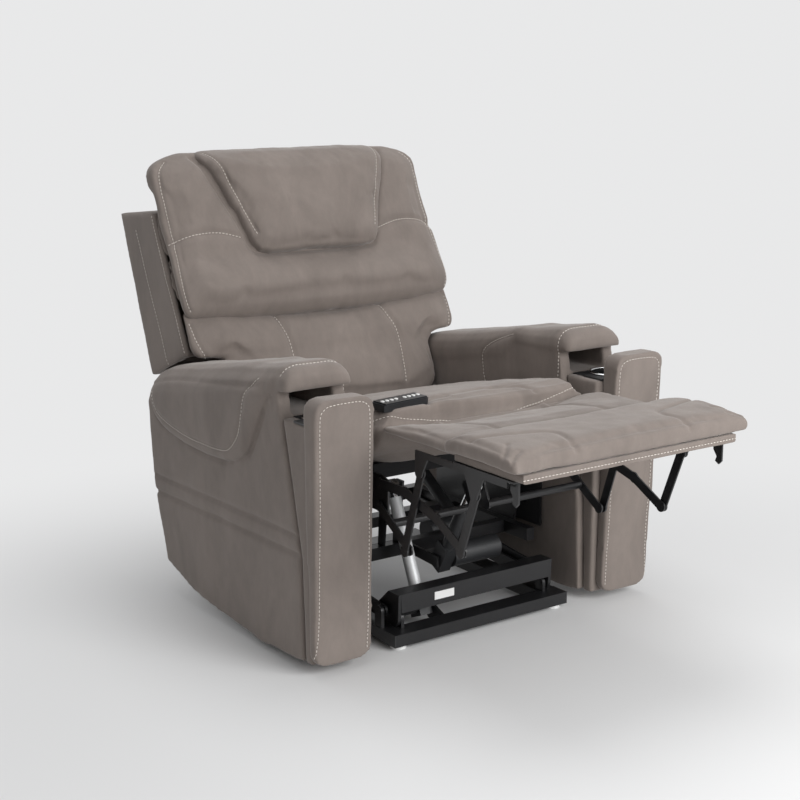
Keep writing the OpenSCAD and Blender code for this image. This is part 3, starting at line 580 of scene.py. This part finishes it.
lumbar = lofted("lumbar_cover", [
    [-34, -42, 0, 250], [-20, -58, 1, 266], [10, -66, 1, 286], [40, -66, 1, 291], [90, -68, 0, 294],
    [112, -70, -2, 306], [120, -72, -10, 324], [128, -74, -16, 350], [138, -75, -21, 382], [160, -76, -21, 389],
    [205, -70, -21, 391], [236, -58, -22, 390], [262, -48, -24, 384], [274, -40, -26, 372]],
    on_back, fullness=6.0)
voxelled(lumbar, 0.008, 2)
stuffed(lumbar, 0.020, 0.008, axes=back_axes)
subdivided(lumbar, 16)
squared_off(lumbar, [(-34, 258), (0, 288), (30, 294), (100, 296), (108, 307), (117, 325), (124, 354), (136, 386),
                     (160, 391), (240, 391), (274, 376)])
fold_sag(lumbar, 240, 120, 30)
lumbar_paths = [[on_back(x, before, p) for x, p in ((-153, 214), (-150, 196), (-136, 142), (-131, 83), (-131, 6))],
                [on_back(x, before, p) for x, p in ((158, 214), (164, 190), (187, 126), (184, 50), (178, 2))]]
lumbar_sides = [[on_back(s * x, before, p) for x, p in ((379, 216), (376, 175), (365, 140), (344, 119), (312, 108))]
                for s in (-1, 1)]
sewn(lumbar, [laid(lumbar, path, into_back) for path in lumbar_paths], 0.006, 0.009)
sewn(lumbar, [laid(lumbar, path, into_back) for path in lumbar_sides], 0.0035, 0.006)
creased(lumbar, 0.0032, 8.0, 9.0)
dressed(lumbar)
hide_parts("lumbar_cushion")
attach(lumbar, "backrest")
back_thread = topstitched("lumbar_topstitching",
                          [laid(lumbar, path, into_back) for path in lumbar_paths + lumbar_sides])
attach(back_thread, "backrest")


# ---------- Headrest panel ----------
# A tapered pillow sewn over the middle of the head section, wider at the top, with its sides topstitched.
# It is filled on its own, so it stands out from the cover round it.

panel_outline = [(-268, 636), (-242, 566), (-206, 470), (-184, 388), (-166, 366), (0, 361), (166, 366),
                 (186, 388), (214, 470), (247, 545), (262, 610), (258, 655), (120, 660), (-120, 660), (-258, 655)]


def panel_pillow(name, outline, rear, crown, edge):
    """A pillow on the back: a flat outline in (across, up), edge thick at its rim and crown more in the middle.
    Its top bends back over the head section."""
    step, rim_width, bend_from, bend = 4.5, 30, 585, 62
    o = np.array(outline, float)
    lo, hi = o.min(0), o.max(0)
    xs, ps = (np.arange(lo[k] - step, hi[k] + 2 * step, step) for k in (0, 1))
    ends = np.roll(o, -1, axis=0)
    ox, op = o.T
    dx, dp = (ends - o).T

    def depth_in(x, p):
        """How far inside the outline a place is; below zero outside."""
        t = np.clip(((x - ox) * dx + (p - op) * dp) / (dx ** 2 + dp ** 2), 0, 1)
        far = np.hypot(x - ox - t * dx, p - op - t * dp).min()
        cross = ((op > p) != (ends[:, 1] > p)) & (x < ox + (p - op) * dx / np.where(dp == 0, 1e-9, dp))
        return far if cross.sum() % 2 else -far

    bm = bmesh.new()
    top, low = {}, {}
    for i, x in enumerate(xs):
        for j, p in enumerate(ps):
            inside = depth_in(x, p)
            if inside > 0:
                rise = 1 - math.exp(-inside / rim_width)
                wrap = bend * max(0, (p - bend_from) / 70) ** 2
                top[i, j] = bm.verts.new(on_back(x, rear - edge - crown * rise + wrap, p))
                low[i, j] = bm.verts.new(on_back(x, rear + wrap, p))
    for (i, j) in list(top):
        if all((i + a, j + b) in top for a, b in ((1, 0), (0, 1), (1, 1))):
            k = [(i, j), (i + 1, j), (i + 1, j + 1), (i, j + 1)]
            bm.faces.new([top[c] for c in k])
            bm.faces.new([low[c] for c in reversed(k)])
    rim = [e for e in bm.edges if len(e.link_faces) == 1]
    back_of = {top[k]: low[k] for k in top}
    for e in rim:
        a, b = e.verts
        if a in back_of and b in back_of:
            bm.faces.new((a, b, back_of[b], back_of[a]))
    bmesh.ops.delete(bm, geom=[v for v in bm.verts if not v.link_faces], context="VERTS")
    bmesh.ops.recalc_face_normals(bm, faces=bm.faces)
    return piece_from(bm, name)


panel = panel_pillow("headrest_panel", panel_outline, rear=-66, crown=24, edge=42)
voxelled(panel, 0.006, 7)
stuffed(panel, 0.010, 0.001, 3.0, axes=back_axes)
subdivided(panel)
panel_sides = [[on_back(s * x, before, p) for x, p in ((246, 636), (222, 566), (191, 470), (172, 408))]
               for s in (-1, 1)]
sewn(panel, [laid(panel, path, into_back) for path in panel_sides], 0.003, 0.005)
creased(panel, 0.0026, 9.0, 12.0)
dressed(panel)
panel_lines = [laid(panel, path, into_back) for path in panel_sides]
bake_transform(panel)
head_thread = topstitched("headrest_topstitching", upper_lines + panel_lines)
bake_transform(head_thread)


# ---------- Covers over hard frames ----------
# The arms, posts and outer back are cloth pulled over thin padding on timber, so they keep the shape of
# what they cover, with softly rounded edges. Stitching follows the posts, the hoods and the saddle flap on
# each arm, and two plain seams run along its side.

def cover_over(name, size, rounds, *under):
    """One skin over the named hard pieces, with its edges rounded over."""
    bm = bmesh.new()
    for n in under:
        bm.from_mesh(nodes[n].data)
    bmesh.ops.remove_doubles(bm, verts=bm.verts, dist=1e-5)
    obj = piece_from(bm, name)
    voxelled(obj, size, rounds)
    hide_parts(*under)
    return obj


def puffed(obj, way, outline, amount, reach):
    """Swells the side that faces way inside an outline in (y, z) millimetres, by nothing at its edge and by
    amount further in than reach."""
    co, no = points_of(obj), normals_of(obj)
    o = np.array([tuple(on_floor(0, y, z))[1:] for y, z in outline])
    d = np.roll(o, -1, axis=0) - o
    facing = np.clip(no @ np.array(way), 0, 1) ** 2
    near = np.full(len(co), 1e9)
    crossings = np.zeros(len(co), int)
    for a, run in zip(o, d):
        t = np.clip(((co[:, 1:] - a) @ run) / (run @ run), 0, 1)
        near = np.minimum(near, np.linalg.norm(co[:, 1:] - a - t[:, None] * run, axis=1))
        b = a + run
        spans = (a[1] > co[:, 2]) != (b[1] > co[:, 2])
        crossings += spans & (co[:, 1] < a[0] + (co[:, 2] - a[1]) * run[0] / (run[1] if run[1] else 1e-9))
    rise = (1 - np.exp(-near / reach)) * (crossings % 2)
    set_points(obj, co + np.array(way) * (amount * facing * rise)[:, None])
    return obj


saddle = [(172, 577), (190, 552), (228, 484), (265, 434), (346, 402), (440, 398), (535, 401), (650, 419), (692, 440),
          (712, 470), (720, 515), (657, 545), (481, 575), (300, 606), (200, 618)]
saddle_lip = [(163, 578), (184, 548), (223, 479), (262, 427), (346, 395), (440, 391), (535, 394), (652, 412),
              (696, 433), (718, 466)]
saddle_stitch = [(211, 606), (248, 566), (271, 490), (300, 449), (346, 424), (440, 419), (535, 422), (648, 440),
                 (686, 462), (700, 494)]
pad_seam = [(205, 596), (235, 590), (400, 567), (563, 545), (680, 522), (722, 500)]
inner_stitch = [(312, 606), (380, 580), (424, 546), (424, 500), (411, 458)]
for side, sign in (("left", 1), ("right", -1)):
    outward, inward = (sign, 0, 0), (-sign, 0, 0)
    arm = cover_over(f"arm_cover_{side}", 0.0055, 3, f"arm_body_{side}", f"arm_cap_{side}")
    puffed(arm, outward, saddle, 0.009, 0.016)

    def on_side(path, way=inward):
        return laid(arm, [on_floor(sign * 900 if way == inward else 0, y, z) for y, z in path], way)

    hood_x, hood_y, hood_z, clear = 390, 141, 565, 180
    hood = [on_floor(sign * (hood_x - clear * math.cos(a)), hood_y, hood_z + clear * math.sin(a))
            for a in np.radians(np.arange(-20, 156, 16))]
    hood_core = on_floor(sign * hood_x, hood_y, hood_z)
    bands = [[(66, z0), (250, z0 - 3), (480, z0 - 8), (722, z0 - 14)] for z0 in (296, 256)]
    sewn(arm, [on_side(saddle_lip)], 0.0055, 0.0055)
    sewn(arm, [on_side(saddle_stitch), on_side(inner_stitch, outward), laid(arm, hood, None, hood_core)],
         0.0025, 0.005)
    sewn(arm, [on_side(pad_seam)], 0.004, 0.006)
    sewn(arm, [on_side(b) for b in bands], 0.006, 0.006)
    creased(arm, 0.0022, 6.5, 20.0 + sign)
    dressed(arm)
    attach(arm, "seat")
    threads = [on_side(saddle_stitch), on_side(inner_stitch, outward), laid(arm, hood, None, hood_core)]

    neck = cover_over(f"arm_neck_cover_{side}", 0.006, 4, f"arm_neck_{side}")
    dressed(neck)
    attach(neck, "seat")

    post = cover_over(f"arm_post_cover_{side}", 0.005, 5, f"arm_post_{side}")
    edge = [on_floor(sign * x, -300, z) for x, z in
            ((470, 44), (463, 120), (464, 300), (467, 480), (468, 560), (458, 582), (436, 588), (400, 589),
             (372, 588), (354, 580), (347, 560), (345, 480), (342, 300), (340, 120), (341, 44))]
    sewn(post, [laid(post, edge, (0, 1, 0))], 0.0018, 0.004)
    creased(post, 0.0016, 7.0, 40.0 + sign)
    dressed(post)
    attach(post, "seat")

    thread = topstitched(f"arm_topstitching_{side}", threads + [laid(post, edge, (0, 1, 0))])
    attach(thread, "seat")

shell = cover_over("outer_back_cover", 0.006, 14, "back_shell")
creased(shell, 0.0016, 5.0, 50.0)
dressed(shell)
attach(shell, "backrest")
shell_lines = [laid(shell, [on_back(s * 900, q, 160), on_back(s * 900, q, 330), on_back(s * 900, q - 2, 505)],
                    (-s, 0, 0)) for s in (-1, 1) for q in (-10, 86)]
shell_thread = topstitched("outer_back_topstitching", shell_lines)
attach(shell_thread, "backrest")


# ---------- Footrest ----------
# A cushioned board in front and a narrower pad behind it that bridges to the seat. Curved seams in the
# cloth's own colour part their covers, and both fold down together.

foot = lofted("footrest_cover", [
    [-447, 510, 536, 310], [-444, 505, 547, 314], [-430, 506, 553, 316], [-400, 507, 558, 317], [-335, 509, 560, 317],
    [-270, 509, 557, 316], [-236, 507, 550, 314], [-226, 508, 540, 308], [-222, 512, 532, 298]],
    lambda x, z, y: on_floor(x, y, z), fullness=9.0)
voxelled(foot, 0.007, 2)
stuffed(foot, 0.012, 0.005, 3.0)
subdivided(foot)
shape = points_of(foot)
front_limit = -0.4475 - 0.295
shape[:, 1] = np.maximum(shape[:, 1], front_limit)
set_points(foot, shape)
above, down = 700, (0, 0, -1)
foot_curves = [laid(foot, [on_floor(s * x, y, above) for x, y in ((302, -300), (230, -320), (168, -338), (142, -360),
                                                                  (149, -408), (152, -438))], down)
               for s in (-1, 1)]
foot_pleats = [laid(foot, [on_floor(s * x, y, above) for x, y in ((312, -436 + k), (296, -424 + k),
                                                                  (274, -416 + k * 1.6))], down)
               for s in (-1, 1) for k in (0, 26)]
sewn(foot, foot_curves, 0.004, 0.007)
sewn(foot, foot_pleats, 0.003, 0.005)
creased(foot, 0.0022, 9.0, 60.0)
dressed(foot)
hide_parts("footrest_pad")
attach(foot, "footrest")

board = cover_over("footrest_board_cover", 0.005, 2, "footrest_board")
narrow = points_of(board)
narrow[:, 0] *= 0.975
narrow[:, 1] = np.maximum(narrow[:, 1], on_floor(0, -437, 0)[1])
set_points(board, narrow)
creased(board, 0.0008, 8.0, 64.0)
dressed(board)
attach(board, "footrest")
lower_edge = [laid(board, [on_floor(x, -700, 501) for x in (-286, -150, 0, 150, 286)], (0, 1, 0))]
foot_thread = topstitched("footrest_topstitching", lower_edge)
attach(foot_thread, "footrest")

leg = lofted("leg_pad_cover", [
    [-232, 500, 520, 287], [-222, 496, 531, 292], [-200, 495, 536, 294], [-120, 495, 536, 294], [-50, 495, 534, 294],
    [2, 496, 528, 291], [14, 499, 521, 285], [24, 508, 516, 275]],
    lambda x, z, y: on_floor(x, y, z), fullness=6.0)
voxelled(leg, 0.007, 2)
stuffed(leg, 0.010, 0.003, 2.5)
subdivided(leg)
# the pad sags in the middle beside the seat
shape = points_of(leg)
near_seat = np.clip((shape[:, 1] + 0.295 + 0.16) / 0.16, 0, 1) * np.clip((shape[:, 2] - 0.505) / 0.02, 0, 1)
shape[:, 2] -= 0.027 * np.exp(-(shape[:, 0] / 0.25) ** 4) * near_seat
set_points(leg, shape)
leg_seams = [laid(leg, [on_floor(s * x, y, above) for x, y in ((146, 20), (152, -60), (150, -150), (146, -226))],
                  down) for s in (-1, 1)]
sewn(leg, leg_seams, 0.0035, 0.007)
creased(leg, 0.003, 8.0, 70.0)
dressed(leg)
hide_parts("leg_pad")
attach(leg, "footrest")


# ---------- Steelwork ----------
# The floor frame, lift arms, carriage, links and brackets are welded and riveted steel in satin black.
# The coat is baked powder: fine-grained, and a little uneven in its tone and gloss.

def coated(name, base, roughness, metallic=0.0, grain=220.0, spread=0.25, bump=0.06):
    """A hard finish with a fine grain; spread is how far its tone wanders and bump how deep the grain is."""
    m, tree, shader = material_with(name, base, roughness, metallic)
    speck = noise_node(tree, object_coordinates(tree), grain, 4.0)
    broad = noise_node(tree, object_coordinates(tree), 9.0, 3.0)
    mixed = blend_values(tree, [(speck, 0.5), (broad, 0.5)])
    tone = tree.nodes.new("ShaderNodeValToRGB")
    tone.color_ramp.elements[0].position = 0.3
    tone.color_ramp.elements[1].position = 0.7
    tone.color_ramp.elements[0].color = (*[c * (1 - spread) for c in base], 1)
    tone.color_ramp.elements[1].color = (*[min(1, c * (1 + spread)) for c in base], 1)
    tree.links.new(mixed, tone.inputs["Fac"])
    tree.links.new(tone.outputs["Color"], shader.inputs["Base Color"])
    worn = tree.nodes.new("ShaderNodeMapRange")
    worn.inputs["To Min"].default_value = max(0.03, roughness - 0.1)
    worn.inputs["To Max"].default_value = min(1.0, roughness + 0.1)
    tree.links.new(broad, worn.inputs["Value"])
    tree.links.new(worn.outputs["Result"], shader.inputs["Roughness"])
    bump_into(tree, shader, speck, bump, 0.0005)
    return m


def painted(material, *names):
    """Gives named solid pieces their finish."""
    for n in names:
        nodes[n].data.materials.clear()
        nodes[n].data.materials.append(material)


black_steel = coated("satin_black_steel", (0.009, 0.009, 0.01), 0.38)
black_steel.node_tree.nodes["Principled BSDF"].inputs["Coat Weight"].default_value = 0.1
painted(black_steel, "base_frame", "lift_arm_weldment", "toggle_links", "carriage_frame", "side_plate_left",
        "side_plate_right", "footrest_bracket_left", "footrest_bracket_right", "rear_lower_links",
        "rear_upper_links", "front_lower_links", "front_upper_links", "back_hinge_plates", "head_frame")


# ---------- Actuators ----------
# Each actuator is a die-cast gear head with a motor across it, a drawn housing and a bright rod.
# The lift actuator's housing is bare aluminium, the other two are dark.

bare_alloy = coated("drawn_aluminium", (0.8, 0.81, 0.82), 0.5, 0.25, 160.0, 0.06, 0.05)
dark_casting = coated("dark_grey_casting", (0.03, 0.031, 0.033), 0.42, 0.1)
bright_rod = coated("bright_steel_rod", (0.7, 0.71, 0.72), 0.16, 1.0, 90.0, 0.05, 0.02)
painted(bare_alloy, "lift_motor")
nodes["lift_motor"].data.materials.append(dark_casting)
gear_head_top = 0.098
for p in nodes["lift_motor"].data.polygons:
    p.material_index = 0 if p.center.z > gear_head_top else 1
painted(dark_casting, "footrest_motor", "recline_motor")
painted(bright_rod, "lift_rod", "footrest_rod", "recline_rod", "bracket_springs", "cup_rings")


# ---------- Timber and webbing ----------
# The softwood frames of the seat, back and arms are wrapped in black lining cloth, and the seat rests on
# black elastic webbing.

black_lining = coated("black_lining_cloth", (0.010, 0.010, 0.011), 0.92, 0.0, 900.0, 0.3, 0.5)
painted(black_lining, "seat_frame", "back_frame", "arm_frame_left", "arm_frame_right")
painted(coated("black_webbing", (0.02, 0.02, 0.02), 0.9, 0.0, 700.0, 0.3, 0.4), "seat_webbing")


# ---------- Plastic fittings ----------
# Cup trays, end caps and the control box are moulded in matt black. The glides under the floor frame and
# the bare plate on the lift cross tube are white.

black_plastic = coated("matt_black_plastic", (0.02, 0.02, 0.021), 0.5, 0.0, 500.0, 0.2, 0.12)
painted(black_plastic, "base_end_caps", "cup_trays", "control_box")
painted(coated("white_plastic", (0.78, 0.78, 0.77), 0.42, 0.0, 300.0, 0.03, 0.05), "glides", "rating_plate")


# ---------- Handset ----------
# A slim moulded handset in dark plastic that lies loose on the seat, with two groups of pale push buttons
# standing out of its face plate.

painted(coated("handset_shell", (0.016, 0.017, 0.019), 0.32, 0.0, 300.0, 0.2, 0.04),
        "handset_case", "handset_face")
painted(coated("button_white", (0.8, 0.8, 0.78), 0.4, 0.0, 300.0, 0.03, 0.03),
        *[f"button_{i}" for i in range(1, 9)])


# ---------- Studio ----------
# A pale floor that fades into a pale backdrop a little way round the chair, three soft lamps, and the
# camera at the chair's front, on the sitter's right.

floor_half = 30
floor_corners = [(x * floor_half, y * floor_half, 0) for x, y in ((-1, -1), (1, -1), (1, 1), (-1, 1))]
floor_mesh = bpy.data.meshes.new("studio_floor")
floor_mesh.from_pydata(floor_corners, [], [(0, 1, 2, 3)])
floor = bpy.data.objects.new("studio_floor", floor_mesh)
scene.collection.objects.link(floor)
floor_paint, tree, shader = material_with("studio_floor_paint", (0.76, 0.76, 0.76), 0.9)
shader.inputs["Specular IOR Level"].default_value = 0.1
backdrop_tone = (0.81, 0.812, 0.816, 1)


def seen_directly(tree):
    """1 for camera, mirror and glass rays, so a plain tone can be shown without changing the light."""
    path = tree.nodes.new("ShaderNodeLightPath")
    total = path.outputs["Is Camera Ray"]
    for kind in ("Is Glossy Ray", "Is Transmission Ray"):
        m = tree.nodes.new("ShaderNodeMath")
        m.operation = "MAXIMUM"
        tree.links.new(total, m.inputs[0])
        tree.links.new(path.outputs[kind], m.inputs[1])
        total = m.outputs[0]
    return total


spot = tree.nodes.new("ShaderNodeVectorMath")
spot.operation = "DISTANCE"
spot.inputs[1].default_value = (-0.3, -0.7, 0)
tree.links.new(object_coordinates(tree), spot.inputs[0])
away = tree.nodes.new("ShaderNodeMapRange")
away.interpolation_type = "SMOOTHSTEP"
away.inputs["From Min"].default_value = 0.55
away.inputs["From Max"].default_value = 2.3
tree.links.new(spot.outputs["Value"], away.inputs["Value"])
share = tree.nodes.new("ShaderNodeMath")
share.operation = "MULTIPLY"
tree.links.new(away.outputs["Result"], share.inputs[0])
tree.links.new(seen_directly(tree), share.inputs[1])
plain = tree.nodes.new("ShaderNodeEmission")
plain.inputs["Color"].default_value = backdrop_tone
either = tree.nodes.new("ShaderNodeMixShader")
tree.links.new(share.outputs[0], either.inputs[0])
tree.links.new(shader.outputs["BSDF"], either.inputs[1])
tree.links.new(plain.outputs["Emission"], either.inputs[2])
tree.links.new(either.outputs["Shader"], tree.nodes["Material Output"].inputs["Surface"])
floor_mesh.materials.append(floor_paint)

world = bpy.data.worlds.new("studio")
scene.world = world
world.use_nodes = True
tree = world.node_tree
room = tree.nodes["Background"]
room.inputs["Color"].default_value = (0.86, 0.87, 0.885, 1)
room.inputs["Strength"].default_value = 0.42
backdrop = tree.nodes.new("ShaderNodeBackground")
backdrop.inputs["Color"].default_value = backdrop_tone
either = tree.nodes.new("ShaderNodeMixShader")
tree.links.new(seen_directly(tree), either.inputs[0])
tree.links.new(room.outputs["Background"], either.inputs[1])
tree.links.new(backdrop.outputs["Background"], either.inputs[2])
tree.links.new(either.outputs["Shader"], tree.nodes["World Output"].inputs["Surface"])


def soft_lamp(name, place, size, watts):
    """A round lamp turned to the middle of the chair."""
    data = bpy.data.lights.new(name, "AREA")
    data.shape = "DISK"
    data.size = size
    data.energy = watts
    obj = bpy.data.objects.new(name, data)
    scene.collection.objects.link(obj)
    obj.location = place
    obj.rotation_mode = "QUATERNION"
    obj.rotation_quaternion = (Vector((0, 0, 0.5)) - Vector(place)).to_track_quat("-Z", "Y")


soft_lamp("key_lamp", (0.7, -3.3, 1.75), 2.2, 104)
soft_lamp("fill_lamp", (-3.0, -1.6, 2.2), 2.6, 12)
soft_lamp("top_lamp", (0.2, 0.6, 3.6), 2.4, 40)

camera_data = bpy.data.cameras.new("camera")
camera_data.sensor_width = 36
camera_data.lens = 69.1
camera = bpy.data.objects.new("camera", camera_data)
scene.collection.objects.link(camera)
camera.location = (-2.056, -2.839, 1.273)
camera.rotation_mode = "QUATERNION"
turned, dipped = 0.61596, 0.22135
look = Vector((math.sin(turned) * math.cos(dipped), math.cos(turned) * math.cos(dipped), -math.sin(dipped)))
camera.rotation_quaternion = look.to_track_quat("-Z", "Y")
camera_data.clip_end = 60
scene.camera = camera
scene.view_settings.view_transform = "Standard"
